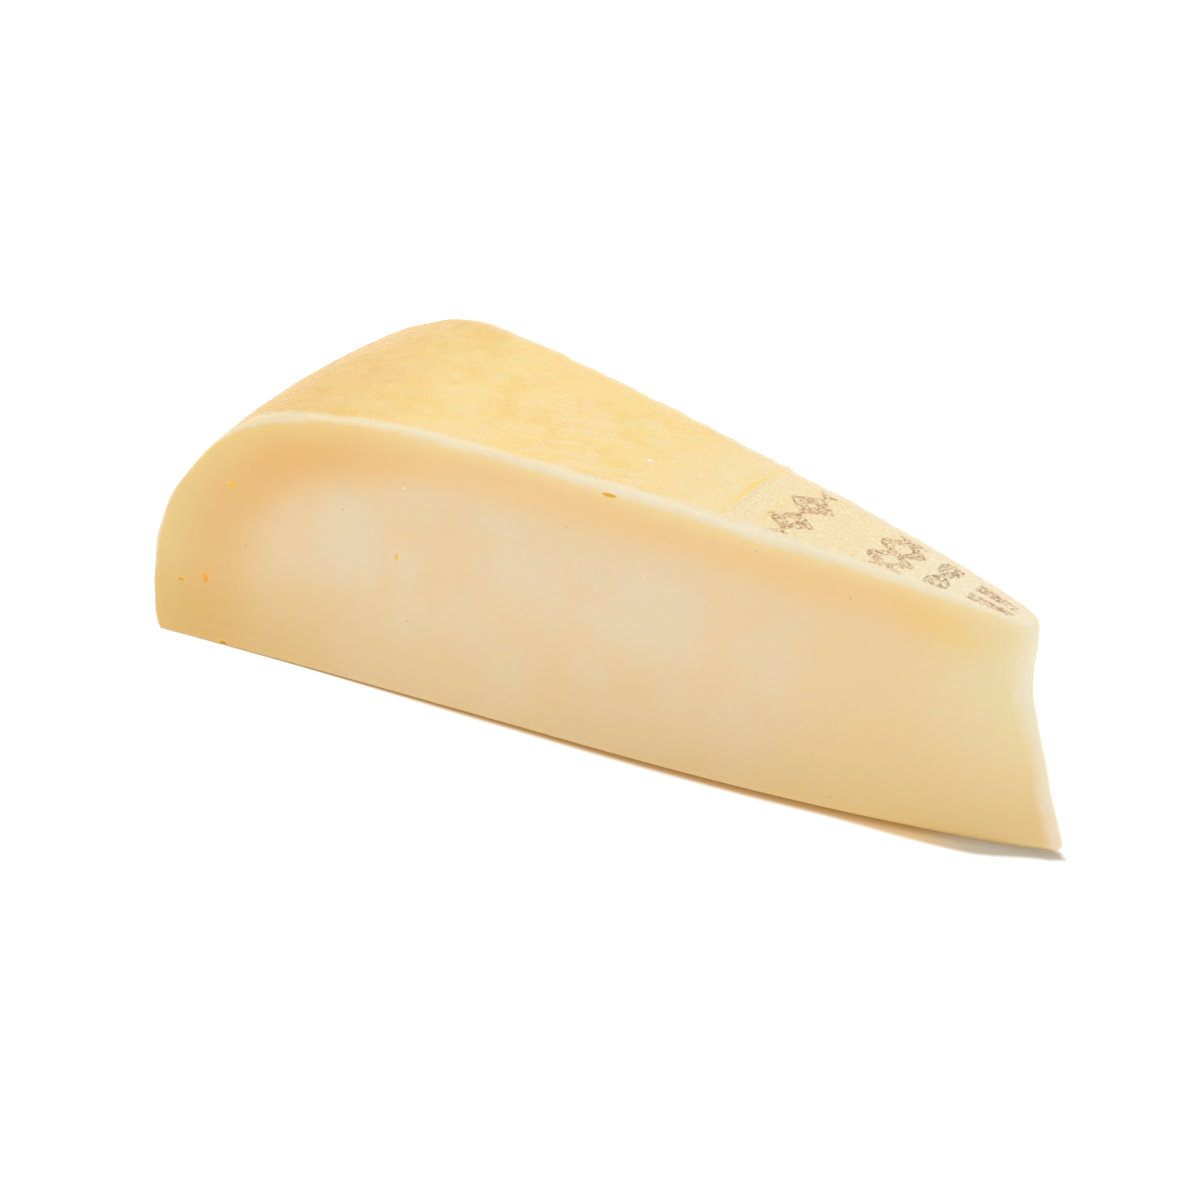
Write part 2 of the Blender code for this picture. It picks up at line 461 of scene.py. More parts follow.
def floatInputs(tree, names):
    # named inputs for the tree's sizes, with the key that a modifier sets each one by
    return {name: tree.interface.new_socket(
        name, in_out="INPUT", socket_type="NodeSocketFloat").identifier for name in names}


def wheelWrap():
    tree = bpy.data.node_groups.new("wheelWrap", "GeometryNodeTree")
    face = tree.interface
    face.new_socket("Geometry", in_out="INPUT", socket_type="NodeSocketGeometry")
    keys = floatInputs(tree, ("Axis X", "Half Angle"))
    keys["Levels"] = face.new_socket(
        "Levels", in_out="INPUT", socket_type="NodeSocketInt").identifier
    face.new_socket("Geometry", in_out="OUTPUT", socket_type="NodeSocketGeometry")
    into, out = tree.nodes.new("NodeGroupInput"), tree.nodes.new("NodeGroupOutput")

    place = addNode(tree, "ShaderNodeSeparateXYZ", {
        0: tree.nodes.new("GeometryNodeInputPosition").outputs[0]})
    reach, side = place.outputs["X"], stored(tree, "sideways")
    share = minus(tree, product(tree, place.outputs["Y"], 2.0), 1.0)
    angle = product(tree, share, into.outputs["Half Angle"])
    sine, cosine = calc(tree, "SINE", angle), calc(tree, "COSINE", angle)
    x = minus(tree, into.outputs["Axis X"], product(tree, reach, cosine))
    x = plus(tree, x, product(tree, side, sine))
    y = plus(tree, product(tree, reach, sine), product(tree, side, cosine))
    spot = addNode(tree, "ShaderNodeCombineXYZ", {"X": x, "Y": y, "Z": place.outputs["Z"]})
    wrapped = addNode(tree, "GeometryNodeSetPosition", {
        "Geometry": into.outputs[0], "Position": spot.outputs[0]})
    rounded = addNode(tree, "GeometryNodeSubdivisionSurface", {
        "Mesh": wrapped.outputs[0], "Level": into.outputs["Levels"]})
    whole = addNode(tree, "GeometryNodeRealizeInstances", {"Geometry": rounded.outputs[0]})
    paintSkin(tree, whole.outputs[0], out.inputs[0])
    return tree, {keys["Axis X"]: wheel["axisX"], keys["Half Angle"]: cuts["halfAngle"],
                  keys["Levels"]: cage["levels"]}


def stored(tree, name, kind="FLOAT"):
    return addNode(tree, "GeometryNodeInputNamedAttribute", {"Name": name},
                   data_type=kind).outputs[0]


def paintSkin(tree, geometry, target):
    # rind all over, then paste on the faces marked as cut
    cut = stored(tree, "cutFace", "BOOLEAN")
    for name, chosen in (("goudaRind", True), ("goudaPaste", cut)):
        painted = addNode(tree, "GeometryNodeSetMaterial", {
            "Geometry": geometry, "Selection": chosen, "Material": bpy.data.materials[name]})
        geometry = painted.outputs[0]
    tree.links.new(geometry, target)


# where each point lies, for the relief and the finishes

def markSkin(mesh):
    points = readPoints(mesh)
    offX = wheel["axisX"] - points[:, 0]
    r, z = np.hypot(offX, points[:, 1]), points[:, 2]
    angle = np.arctan2(points[:, 1], offX)
    depth, along = np.empty(len(r)), np.empty(len(r))
    line = np.stack([rindR, rindZ], -1)
    for start in range(0, len(r), 4000):
        part = slice(start, start + 4000)
        gap = np.hypot(r[part, None] - line[None, :, 0], z[part, None] - line[None, :, 1])
        nearest = gap.argmin(1)
        depth[part] = gap[np.arange(len(nearest)), nearest]
        along[part] = rindLength[nearest]
    # distance in from the two cut faces
    toFront = r * np.sin(angle + cuts["halfAngle"])
    toBack = r * np.sin(cuts["halfAngle"] - angle)
    writeValues(mesh, "rindDepth", "FLOAT", depth)
    writeValues(mesh, "cutDistance", "FLOAT", np.minimum(toFront, toBack) + tip["halfWidth"])
    front = onTip(np.clip(z / crownHeight(tip["lean"]), 0.0, 1.0))[:, 0]
    writeValues(mesh, "tipDistance", "FLOAT", r - front)
    writeValues(mesh, "skinMap", "FLOAT_VECTOR", np.stack([along, r * angle, 0 * r], -1))


# relief on the rind and the cut faces

relief = {
    "Wrinkle Depth": 0.00012,
    "Ring Radius": 0.0644,
    "Ring Depth": 0.00020,
    "Inner Ring Radius": 0.0579,
    "Lip Height": 0.00028,
    "Undulation": 0.00022,
    "Edge Wave": 0.00033,
    "Tip Wave": 0.00030,
    "Cut Ripple": 0.00010,
}


reliefGrain = {
    "wrinkleTurn": -22.0,                      # degrees, as the cloth lay
    "wrinkleStretch": (110.0, 700.0, 350.0),
    "undulationSize": 0.026,
    "ringWander": 0.0006,
    "ringWidth": 0.0008,
    "innerRingWidth": 0.0011,
    "innerRingShare": 0.5,
    "lipWidth": 0.0028,
    "edgeWaveSize": 0.0050,
    "lipWaveSize": 0.0060,
    "tipWaveSize": 0.0050,
    "rippleStretch": (22.0, 22.0, 75.0),
}


def skinRelief():
    tree = bpy.data.node_groups.new("skinRelief", "GeometryNodeTree")
    face = tree.interface
    face.new_socket("Geometry", in_out="INPUT", socket_type="NodeSocketGeometry")
    keys = floatInputs(tree, relief)
    face.new_socket("Geometry", in_out="OUTPUT", socket_type="NodeSocketGeometry")
    into, out = tree.nodes.new("NodeGroupInput"), tree.nodes.new("NodeGroupOutput")
    size, grain = into.outputs, reliefGrain

    place = tree.nodes.new("GeometryNodeInputPosition").outputs[0]
    reach, _ = axisReach(tree, place)
    depth, inset = stored(tree, "rindDepth"), stored(tree, "cutDistance")
    onRindSide = fade(tree, depth, 0.0012, 0.0003)
    away = fade(tree, inset, 0.0002, 0.0022, 0.35, 1.0)

    # long shallow wrinkles, a little askew, over a slow undulation
    askew = stretched(tree, turned(tree, place, grain["wrinkleTurn"]), grain["wrinkleStretch"])
    amount = plus(tree, swing(tree, askew, 1.0, size["Wrinkle Depth"], 3.0, 0.6),
                  swing(tree, place, grain["undulationSize"], size["Undulation"]))

    # two pressed rings with a low lip between them
    ringReach = plus(tree, reach, swing(tree, place, 0.012, grain["ringWander"]))
    groove = hump(tree, ringReach, size["Ring Radius"], grain["ringWidth"])
    inner = hump(tree, ringReach, size["Inner Ring Radius"], grain["innerRingWidth"])
    lipMiddle = product(tree, plus(tree, size["Ring Radius"], size["Inner Ring Radius"]), 0.5)
    lip = hump(tree, ringReach, lipMiddle, grain["lipWidth"])
    pressed = product(tree, plus(tree, groove, product(tree, inner, grain["innerRingShare"])),
                      size["Ring Depth"])
    ring = minus(tree, product(tree, lip, size["Lip Height"]), pressed)
    amount = plus(tree, product(tree, amount, away), ring)

    # small bumps along the rim and along both cut edges
    byEdge = product(tree, fade(tree, inset, 0.0060, 0.0010),
                     fade(tree, reach, 0.145, 0.165, 1.0, 0.5))
    byRim = fade(tree, reach, 0.135, 0.160, 0.0, 0.5)
    bumps = product(tree, swing(tree, place, grain["edgeWaveSize"], size["Edge Wave"], 3.0, 0.6),
                    larger(tree, byEdge, byRim))
    amount = product(tree, plus(tree, amount, bumps), onRindSide)

    # the wire's faint ripples on the cut faces, and their wavy upper edge
    onCut = fade(tree, depth, 0.0010, 0.0040)
    ripple = swing(tree, stretched(tree, place, grain["rippleStretch"]), 1.0, size["Cut Ripple"])
    amount = plus(tree, amount, product(tree, ripple, onCut))
    lipWave = swing(tree, shifted(tree, place, (0.2, 0.1, 0.3)), grain["lipWaveSize"],
                    size["Edge Wave"], 2.0, 0.6)
    beside = product(tree, fade(tree, depth, 0.0022, 0.0004), fade(tree, inset, 0.0010, 0.0003))
    amount = plus(tree, amount, product(tree, lipWave, beside))

    # a slightly ragged tip
    byTip = fade(tree, stored(tree, "tipDistance"), 0.0050, 0.0010)
    tipWave = swing(tree, place, grain["tipWaveSize"], size["Tip Wave"], 2.0, 0.6)
    amount = plus(tree, amount, product(tree, tipWave, byTip))

    # nothing moves at the base, so the wedge keeps standing flat
    high = fade(tree, axisPart(tree, place, "Z"), 0.0008, 0.0030)
    push = vectorCalc(tree, "SCALE", tree.nodes.new("GeometryNodeInputNormal").outputs[0],
                      product(tree, amount, high))
    raised = addNode(tree, "GeometryNodeSetPosition", {
        "Geometry": into.outputs[0], "Offset": push})
    whole = addNode(tree, "GeometryNodeRealizeInstances", {"Geometry": raised.outputs[0]})
    paintSkin(tree, whole.outputs[0], out.inputs[0])
    return tree, {keys[name]: value for name, value in relief.items()}


# small holes in the front cut: distance from the axis, height, half sizes

holes = {
    "slit": {"r": 0.0840, "z": 0.0486, "half": (0.0014, 0.0005, 0.0004)},
    "eyes": [
        {"r": 0.1578, "z": 0.0322, "half": (0.0008, 0.0006, 0.0009)},
        {"r": 0.1637, "z": 0.0125, "half": (0.0008, 0.0007, 0.0010)},
        {"r": 0.1686, "z": 0.0110, "half": (0.0006, 0.0005, 0.0004)},
        {"r": 0.1249, "z": 0.0267, "half": (0.0005, 0.0004, 0.0008)},
    ],
    "notch": {"r": 0.1602, "z": 0.0000, "half": (0.0010, 0.0011, 0.0011)},
}


def facePoint(hole):
    s = hole["r"] / wheel["radius"]
    v = hole["z"] / crownHeight(hole["r"])
    offset = tip["halfWidth"] + frontOffset(s, v)
    angle = cuts["halfAngle"]
    x = wheel["axisX"] - hole["r"] * math.cos(angle) + offset * math.sin(angle)
    y = -hole["r"] * math.sin(angle) - offset * math.cos(angle)
    return Vector((x, y, hole["z"]))


def holeCutter(name, hole):
    bm = bmesh.new()
    turn = Matrix.Rotation(cuts["halfAngle"], 4, "Z")
    bmesh.ops.create_uvsphere(bm, u_segments=20, v_segments=12, radius=1.0,
                              matrix=Matrix.Translation(facePoint(hole)) @ turn
                              @ Matrix.Diagonal((*hole["half"], 1.0)))
    mesh = bpy.data.meshes.new(name)
    bm.to_mesh(mesh)
    bm.free()
    mesh.shade_smooth()
    mesh.materials.append(bpy.data.materials["goudaHole"])
    cutter = bpy.data.objects.new(name, mesh)
    bpy.context.scene.collection.objects.link(cutter)
    return cutter


def withHoles(mesh):
    cutters = [holeCutter(f"hole{number}", hole)
               for number, hole in enumerate([holes["slit"], holes["notch"]] + holes["eyes"])]
    steps = [("BOOLEAN", {"operation": "DIFFERENCE", "solver": "EXACT", "object": cutter,
                          "material_mode": "TRANSFER"}, {}) for cutter in cutters]
    result = baked("wedgeHoled", mesh, steps)
    for cutter in cutters:
        bpy.data.objects.remove(cutter, do_unlink=True)
    return result


# finishes

rindFinish = {
    "yellow": (0.770, 0.580, 0.215),
    "gold": (0.765, 0.535, 0.165),
    "rosy": (0.770, 0.605, 0.355),
    "amber": (0.765, 0.500, 0.140),
    "rimTan": (0.640, 0.368, 0.072),
    "rimDeep": (0.660, 0.355, 0.055),
    "innerCream": (0.745, 0.620, 0.370),
    "tipCream": (0.750, 0.695, 0.530),
    "edgeHighlight": (0.700, 0.640, 0.490),
    "ringGold": (0.775, 0.550, 0.085),
    "rimDot": (0.860, 0.690, 0.400),
    "dot": (0.870, 0.785, 0.620),
    "glintWhite": (0.960, 0.940, 0.910),
    "clothPitch": 0.00135,
    "clothWander": 0.0011,
    "streakTurn": 22.0,        # degrees, as the cloth lay
    "streakStretch": (330.0, 1000.0, 700.0),
    "longStreakStretch": (130.0, 380.0, 260.0),
    "patchSize": 0.0075,
    "otherPatchSize": 0.0055,
    "amberSize": 0.0060,
    "mottleSize": 0.0026,
    "deepSize": 0.0038,
    "pressedSize": 0.0050,
    "gritSize": 0.0006,
    "amberMiddle": 0.138,
    "amberWidth": 0.022,
    # distances from the axis at which each begins and is full
    "rosyFade": (0.130, 0.085),
    "creamFade": (0.094, 0.072),
    "insideFade": (0.0652, 0.0634),
    "tipFade": (0.048, 0.012),
    # and the same along the rind, from the tip's top over the shoulder
    "tanFade": (0.120, 0.164),
    "rimDotFade": (0.148, 0.165),
    "tanShare": 0.92,
    "mottleShare": 0.38,
    "deepShare": 0.20,
    "grooveShare": 0.30,
    "ringLineWidth": 0.00050,
    "innerLineWidth": 0.00080,
    "innerLineShare": 0.45,
}

inkFinish = {
    "brown": (0.560, 0.290, 0.100),
    "grey": (0.470, 0.340, 0.220),
    "dark": (0.225, 0.110, 0.050),
    "washShare": 0.52,         # an even wash of brown, under the dark net
    "netShare": 0.85,
    "wearSize": 0.0016,
}

pasteFinish = {
    "heart": (0.760, 0.575, 0.335),
    "milk": (0.745, 0.605, 0.405),
    "tipTan": (0.765, 0.570, 0.315),
    "gold": (0.790, 0.575, 0.160),
    # painted shade along the base, warmed by the floor's bounce
    "baseShade": (0.650, 0.450, 0.190),
    "baseShadeRim": (0.670, 0.430, 0.125),
    "baseShadeGold": (0.680, 0.480, 0.175),
    "bandTop": (0.795, 0.550, 0.260),
    "bandShoulder": (0.765, 0.455, 0.155),
    "bandRim": (0.735, 0.475, 0.190),
    "paleTop": (0.795, 0.635, 0.305),
    "paleShoulder": (0.770, 0.560, 0.210),
    "paleRim": (0.725, 0.545, 0.225),
    "edgeHighlight": (0.745, 0.685, 0.525),
    "tipCream": (0.750, 0.655, 0.370),
    "tipPaleGlow": (0.740, 0.695, 0.560),
    "speck": (0.380, 0.240, 0.120),
    "darkFleck": (0.550, 0.370, 0.180),
    "paleFleck": (0.930, 0.890, 0.800),
    "milkFleck": (0.930, 0.900, 0.820),
    "cloudSize": 0.021,
    "fineSize": 0.0035,
    "bandDepth": 0.0060,       # the coloured band under the top rind
    "shoulderDepth": 0.0036,   # deeper by this at the shoulder
    "rimDepth": 0.0022,        # and by this again over the rim
    "bandSwing": 0.0060,
    "dragStretch": (30.0, 30.0, 850.0),
}

# the holes' walls are painted bright orange, a painted glow for light scattering through the paste
# into them
holeFinish = {"gold": (0.89, 0.63, 0.15), "deep": (0.86, 0.52, 0.07), "grain": 0.0008}


def startMaterial(name, roughness, subsurface):
    material = bpy.data.materials.new(name)
    material.use_nodes = True
    shader = material.node_tree.nodes["Principled BSDF"]
    shader.inputs["Roughness"].default_value = roughness
    shader.inputs["IOR"].default_value = 1.45
    shader.inputs["Subsurface Weight"].default_value = subsurface
    shader.inputs["Subsurface Radius"].default_value = (1.0, 0.55, 0.22)
    shader.inputs["Subsurface Scale"].default_value = 0.0030
    return material, material.node_tree, shader


def attribute(tree, name):
    return addNode(tree, "ShaderNodeAttribute", attribute_name=name)


def flecks(tree, colour, place, spacing, radius, kept, strength, tone):
    # a thin scatter of round specks
    cell = addNode(tree, "ShaderNodeTexVoronoi", {"Vector": place, "Scale": 1.0 / spacing})
    spot = fade(tree, product(tree, cell.outputs["Distance"], spacing), radius * 1.4, radius * 0.7)
    pick = addNode(tree, "ShaderNodeSeparateColor", {0: cell.outputs["Color"]}).outputs[0]
    picked = calc(tree, "LESS_THAN", pick, kept)
    return mixColour(tree, product(tree, spot, picked, strength), colour, tone)


def clothMarks(tree, skin, place):
    # where the cloth pressed in: offset rows of small bumps
    push = addNode(tree, "ShaderNodeTexNoise", {
        "Vector": place, "Scale": 180.0, "Detail": 1.0}).outputs["Color"]
    skin = shifted(tree, skin, vectorCalc(tree, "SCALE", push, rindFinish["clothWander"]))
    parts = addNode(tree, "ShaderNodeSeparateXYZ", {
        0: turned(tree, skin, rindFinish["streakTurn"])})
    turn = 2.0 * math.pi / rindFinish["clothPitch"]
    threads = [calc(tree, "COSINE", product(tree, parts.outputs[axis], turn)) for axis in "XY"]
    return plus(tree, product(tree, *threads, 0.5), 0.5)


def goudaRind():
    material, tree, shader = startMaterial("goudaRind", 0.36, 0.5)
    tone = rindFinish
    place = tree.nodes.new("ShaderNodeTexCoord").outputs["Object"]
    reach, angle = axisReach(tree, place)
    skin = attribute(tree, "skinMap").outputs["Vector"]
    inset = attribute(tree, "cutDistance").outputs["Fac"]
    tipGap = attribute(tree, "tipDistance").outputs["Fac"]
    alongSkin = axisPart(tree, skin, "X")
    cloth = clothMarks(tree, skin, place)
    grit = noise(tree, place, tone["gritSize"], 3.0, 0.65)

    # patches of yellow, gold and rosy cream, drawn out into short streaks
    grain = turned(tree, place, -tone["streakTurn"])
    streak = noise(tree, stretched(tree, grain, tone["streakStretch"]), 1.0, 3.0, 0.6, 0.4)
    longStreak = noise(tree, stretched(tree, grain, tone["longStreakStretch"]), 1.0, 3.0, 0.6, 0.3)
    patch = noise(tree, place, tone["patchSize"], 4.0, 0.62)
    otherPatch = noise(tree, shifted(tree, place, (0.4, 0.2, 0.1)), tone["otherPatchSize"],
                       4.0, 0.62)
    colour = mixColour(tree, fade(tree, patch, 0.42, 0.66, 0.0, 0.75), tone["yellow"],
                       tone["gold"])
    rosy = plus(tree, product(tree, otherPatch, 0.40), product(tree, streak, 0.35),
                product(tree, longStreak, 0.25))
    rosy = product(tree, fade(tree, rosy, 0.46, 0.58), fade(tree, angle, 0.03, 0.13, 1.0, 0.55),
                   fade(tree, reach, *tone["rosyFade"], 0.35, 0.75))
    colour = mixColour(tree, rosy, colour, tone["rosy"])
    amber = noise(tree, shifted(tree, place, (0.1, 0.3, 0.2)), tone["amberSize"], 3.0, 0.55)
    onSlope = hump(tree, reach, tone["amberMiddle"], tone["amberWidth"])
    amber = product(tree, fade(tree, amber, 0.50, 0.64),
                    plus(tree, product(tree, onSlope, 0.50), 0.10))
    colour = mixColour(tree, amber, colour, tone["amber"])

    # tan over the rim, cream towards the pressed ring, inside it and at the tip
    towardsRim = fade(tree, plus(tree, alongSkin, product(tree, patch, 0.018)), *tone["tanFade"])
    colour = mixColour(tree, product(tree, towardsRim, tone["tanShare"]), colour, tone["rimTan"])
    mottle = fade(tree, noise(tree, place, tone["mottleSize"], 3.0, 0.6), 0.42, 0.60)
    colour = mixColour(tree, product(tree, towardsRim, mottle, tone["mottleShare"]), colour,
                       tone["yellow"])
    deeper = noise(tree, shifted(tree, place, (0.3, 0.5, 0.1)), tone["deepSize"], 2.0, 0.6)
    colour = mixColour(tree, product(tree, towardsRim, fade(tree, deeper, 0.50, 0.64),
                                     tone["deepShare"]), colour, tone["rimDeep"])
    nearRing = fade(tree, plus(tree, reach, product(tree, otherPatch, 0.012)),
                    *tone["creamFade"], 0.0, 0.60)
    colour = mixColour(tree, nearRing, colour, tone["innerCream"])
    ringReach = plus(tree, reach, swing(tree, place, 0.012, 0.0006))
    inside = fade(tree, ringReach, *tone["insideFade"])
    inPatch = fade(tree, otherPatch, 0.45, 0.65, 0.90, 0.45)
    colour = mixColour(tree, product(tree, inside, inPatch), colour, tone["innerCream"])
    colour = mixColour(tree, fade(tree, reach, *tone["tipFade"], 0.0, 0.75), colour,
                       tone["tipCream"])

    # the pressed rings show as fine golden lines, strongest in the middle of the wedge
    broken = fade(tree, noise(tree, place, 0.005, 2.0), 0.36, 0.56, 0.65, 1.0)
    ringLine = product(tree, hump(tree, ringReach, relief["Ring Radius"], tone["ringLineWidth"]),
                       broken, hump(tree, angle, 0.0, 0.110))
    innerLine = product(tree, hump(tree, ringReach, relief["Inner Ring Radius"],
                                   tone["innerLineWidth"]),
                        broken, hump(tree, angle, -0.05, 0.09), tone["innerLineShare"])
    colour = mixColour(tree, larger(tree, ringLine, innerLine), colour, tone["ringGold"])

    # printed ornament, a little worn and greyer towards the tip
    ink = inkFinish
    clear = product(tree, fade(tree, inset, 0.0006, 0.0014), fade(tree, reach, 0.0105, 0.0125))
    worn = fade(tree, noise(tree, place, ink["wearSize"], 3.0, 0.7), 0.30, 0.50, 0.30, 1.0)
    stroke = product(tree, stampMask(tree, reach, angle), worn, clear)
    greyer = product(tree, fade(tree, noise(tree, place, 0.006, 2.0), 0.45, 0.65),
                     fade(tree, reach, 0.045, 0.025))
    colour = mixColour(tree, product(tree, stroke, ink["washShare"]), colour,
                       mixColour(tree, greyer, ink["brown"], ink["grey"]))
    colour = mixColour(tree, product(tree, stroke, inkNet(tree, cloth, grit)), colour,
                       ink["dark"])

    # the cloth's bumps are painted paler, partly their own pale colour and partly painted glints,
    # most of all over the rim and inside the ring
    onRim = fade(tree, plus(tree, alongSkin, product(tree, patch, 0.030)), *tone["rimDotFade"])
    strength = larger(tree, onRim, product(tree, inside, 0.50))
    strength = larger(tree, strength, fade(tree, longStreak, 0.35, 0.65, 0.05, 0.30))
    strength = larger(tree, strength, product(tree, stroke, 0.85))
    strength = product(tree, strength, fade(tree, tipGap, 0.0030, 0.0090))
    even = fade(tree, reach, 0.050, 0.130, 0.40, 1.0)
    rough = fade(tree, reach, 0.050, 0.130, 3.2, 1.4)
    weave = plus(tree, product(tree, minus(tree, cloth, 0.5), even), 0.5,
                 product(tree, minus(tree, grit, 0.5), rough))
    paleBumpsAndGlints = product(tree, fade(tree, weave, 0.60, 0.95), strength)
    pressed = noise(tree, shifted(tree, place, (0.6, 0.1, 0.2)), tone["pressedSize"], 3.0, 0.6)
    pressed = fade(tree, pressed, 0.38, 0.60, 0.45, 1.0)
    colour = mixColour(tree, product(tree, paleBumpsAndGlints, pressed), colour,
                       mixColour(tree, inside, tone["rimDot"], tone["dot"]))
    grooves = product(tree, fade(tree, weave, 0.40, 0.05), strength, tone["grooveShare"])
    colour = mixColour(tree, grooves, colour, tone["rimTan"])
    # tiny white flecks of painted glint, where the coat catches the light
    colour = flecks(tree, colour, place, 0.0085, 0.00034, 0.60, 0.9, tone["glintWhite"])

    # the pale cut edge, a painted highlight and translucent glow, and the whitish tip, partly its
    # own pale colour and partly painted glow
    ragged = swing(tree, place, 0.0045, 0.00075, 3.0, 0.6)
    front = fade(tree, angle, -0.02, 0.02, 0.0006, 0.0004)
    edge = fade(tree, minus(tree, plus(tree, inset, ragged), front), 0.0009, -0.0008)
    edge = product(tree, edge, fade(tree, reach, 0.150, 0.040, 0.70, 0.95))
    colour = mixColour(tree, edge, colour, tone["edgeHighlight"])
    colour = mixColour(tree, fade(tree, tipGap, 0.0060, 0.0015), colour, pasteFinish["tipPaleGlow"])
    feed(tree, shader.inputs["Base Color"], colour)

    height = plus(tree, product(tree, cloth, strength, 0.6), product(tree, grit, 0.7),
                  product(tree, streak, 0.9))
    bump = addNode(tree, "ShaderNodeBump", {
        "Height": height, "Strength": 0.9, "Distance": 0.00025})
    feed(tree, shader.inputs["Normal"], bump.outputs[0])
    feed(tree, shader.inputs["Roughness"], fade(tree, grit, 0.35, 0.70, 0.50, 0.28))
    shader.inputs["Specular IOR Level"].default_value = 0.5
    return material


# printed ornament: plain figures in rings about the wheel's axis

stamp = {
    "lozenges": {"ring": 0.0535, "pitch": 0.0064, "half": (0.0028, 0.0040), "stroke": 0.0013},
    "braid": {"ring": 0.0345, "pitch": 0.0080, "swing": 0.0031, "stroke": 0.0013},
    "beads": {"ring": 0.0252, "pitch": 0.0046, "radius": 0.0021},
    "rays": {"ring": 0.0145, "pitch": 0.0024, "half": (0.0007, 0.0048)},
}


def stampMask(tree, reach, angle):
    def line(distance, half):
        return fade(tree, calc(tree, "ABSOLUTE", distance), half + 0.0003, half)

    def offRing(piece):
        return minus(tree, reach, piece["ring"])

    def stepAlong(piece):
        arc = product(tree, angle, piece["ring"])
        return minus(tree, calc(tree, "FLOORED_MODULO", arc, piece["pitch"]), piece["pitch"] / 2)

    def shareOf(value, half):
        return calc(tree, "DIVIDE", calc(tree, "ABSOLUTE", value), half)

    piece = stamp["lozenges"]
    wide, high = piece["half"]
    edge = plus(tree, shareOf(stepAlong(piece), wide), shareOf(offRing(piece), high))
    edge = product(tree, minus(tree, edge, 0.72), wide * 0.83)
    masks = [line(edge, piece["stroke"] * 0.7)]

    piece = stamp["braid"]
    turns = product(tree, angle, 2.0 * math.pi * piece["ring"] / piece["pitch"])
    wave = product(tree, calc(tree, "SINE", turns), piece["swing"])
    masks += [line(join(tree, offRing(piece), wave), piece["stroke"]) for join in (minus, plus)]

    piece = stamp["beads"]
    spot = addNode(tree, "ShaderNodeCombineXYZ", {"X": offRing(piece), "Y": stepAlong(piece)})
    far = vectorCalc(tree, "LENGTH", spot.outputs[0])
    masks.append(line(minus(tree, far, piece["radius"] * 0.65), piece["radius"] * 0.35))

    piece = stamp["rays"]
    thin, long = piece["half"]
    masks.append(product(tree, line(stepAlong(piece), thin), line(offRing(piece), long)))

    whole = masks[0]
    for mask in masks[1:]:
        whole = larger(tree, whole, mask)
    return whole


def inkNet(tree, cloth, grit):
    # the ink lies darkest in a net between the cloth's bumps
    net = fade(tree, cloth, 0.85, 0.40, 0.35, 1.0)
    return product(tree, net, fade(tree, grit, 0.51, 0.39), inkFinish["netShare"])


# cut paste

# pale patches of painted sheen on the cut faces
sheenPatches = [
    # distance from the axis, height, half width, half height, share
    (0.1345, 0.0275, 0.0065, 0.0110, 0.9),
    (0.1400, 0.0205, 0.0090, 0.0040, 0.6),
    (0.0980, 0.0290, 0.0120, 0.0090, 0.7),
    (0.0760, 0.0280, 0.0150, 0.0110, 0.9),
    (0.0530, 0.0270, 0.0070, 0.0060, 0.5),
]

goldPatch = (0.0228, 0.0385, 0.0095, 0.0046, 0.42)
goldLean = 0.22                # it climbs away from the tip by this

darkSpecks = [
    # in the front cut: distance from the axis, height
    (0.1355, 0.0331), (0.1553, 0.0209), (0.1228, 0.0149), (0.1348, 0.0012),
    (0.0919, 0.0408), (0.0563, 0.0451), (0.0392, 0.0401), (0.0409, 0.0035),
]


def patchReach(tree, reach, height, patch, lean=0.0):
    # 0 at the patch's middle, 1 at its rim
    r, z, halfWide, halfHigh, _ = patch
    off, rise = minus(tree, reach, r), minus(tree, height, z)
    if lean:
        rise = minus(tree, rise, product(tree, off, lean))
    wide = calc(tree, "DIVIDE", off, halfWide)
    high = calc(tree, "DIVIDE", rise, halfHigh)
    return calc(tree, "SQRT", plus(tree, product(tree, wide, wide), product(tree, high, high)))


